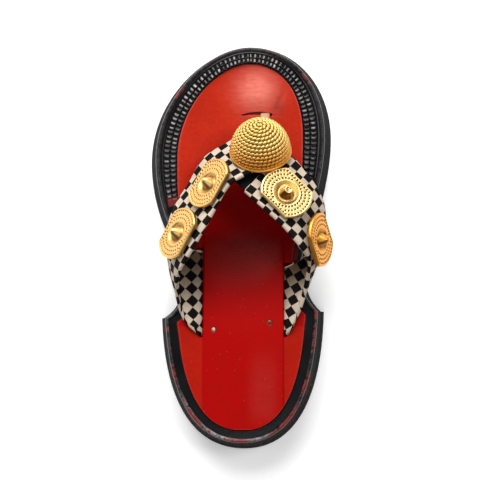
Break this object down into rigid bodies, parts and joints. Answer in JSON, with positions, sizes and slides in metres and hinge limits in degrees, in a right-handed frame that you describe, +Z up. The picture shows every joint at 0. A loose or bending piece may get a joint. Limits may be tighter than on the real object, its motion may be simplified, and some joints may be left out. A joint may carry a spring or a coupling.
{
  "type": "ahenema sandal",
  "caption": "Left-foot ceremonial thong sandal: thick black sole with waist and heel ears, red insole, checked cloth straps and gold plates with a beehive dome.",
  "frame": {"origin": "on the floor, at the middle of the sandal's plan", "axes": "+Y to the toe, +X to the inner side of the foot, +Z up"},
  "size_m": [0.133, 0.2932, 0.0714],
  "materials": {
    "black_leather": "satin, painted and burnished",
    "red_leather": "satin, dyed",
    "check_cloth": "matt plain weave in a black and cream check",
    "tan_leather": "matt, undyed",
    "gilt": "satin gilt",
    "nail_iron": "worn"
  },
  "bodies": {
    "root": {"sole": "black_leather", "heel": "black_leather", "welt": "black_leather", "insole": "red_leather", "straps": "check_cloth", "toe_post": "tan_leather", "dome": "gilt", "ornament_lateral_front": "gilt", "ornament_lateral_rear": "gilt", "ornament_medial_front": "gilt", "ornament_medial_rear": "gilt", "nail_lateral": "nail_iron", "nail_medial": "nail_iron"}
  },
  "joints": []
}
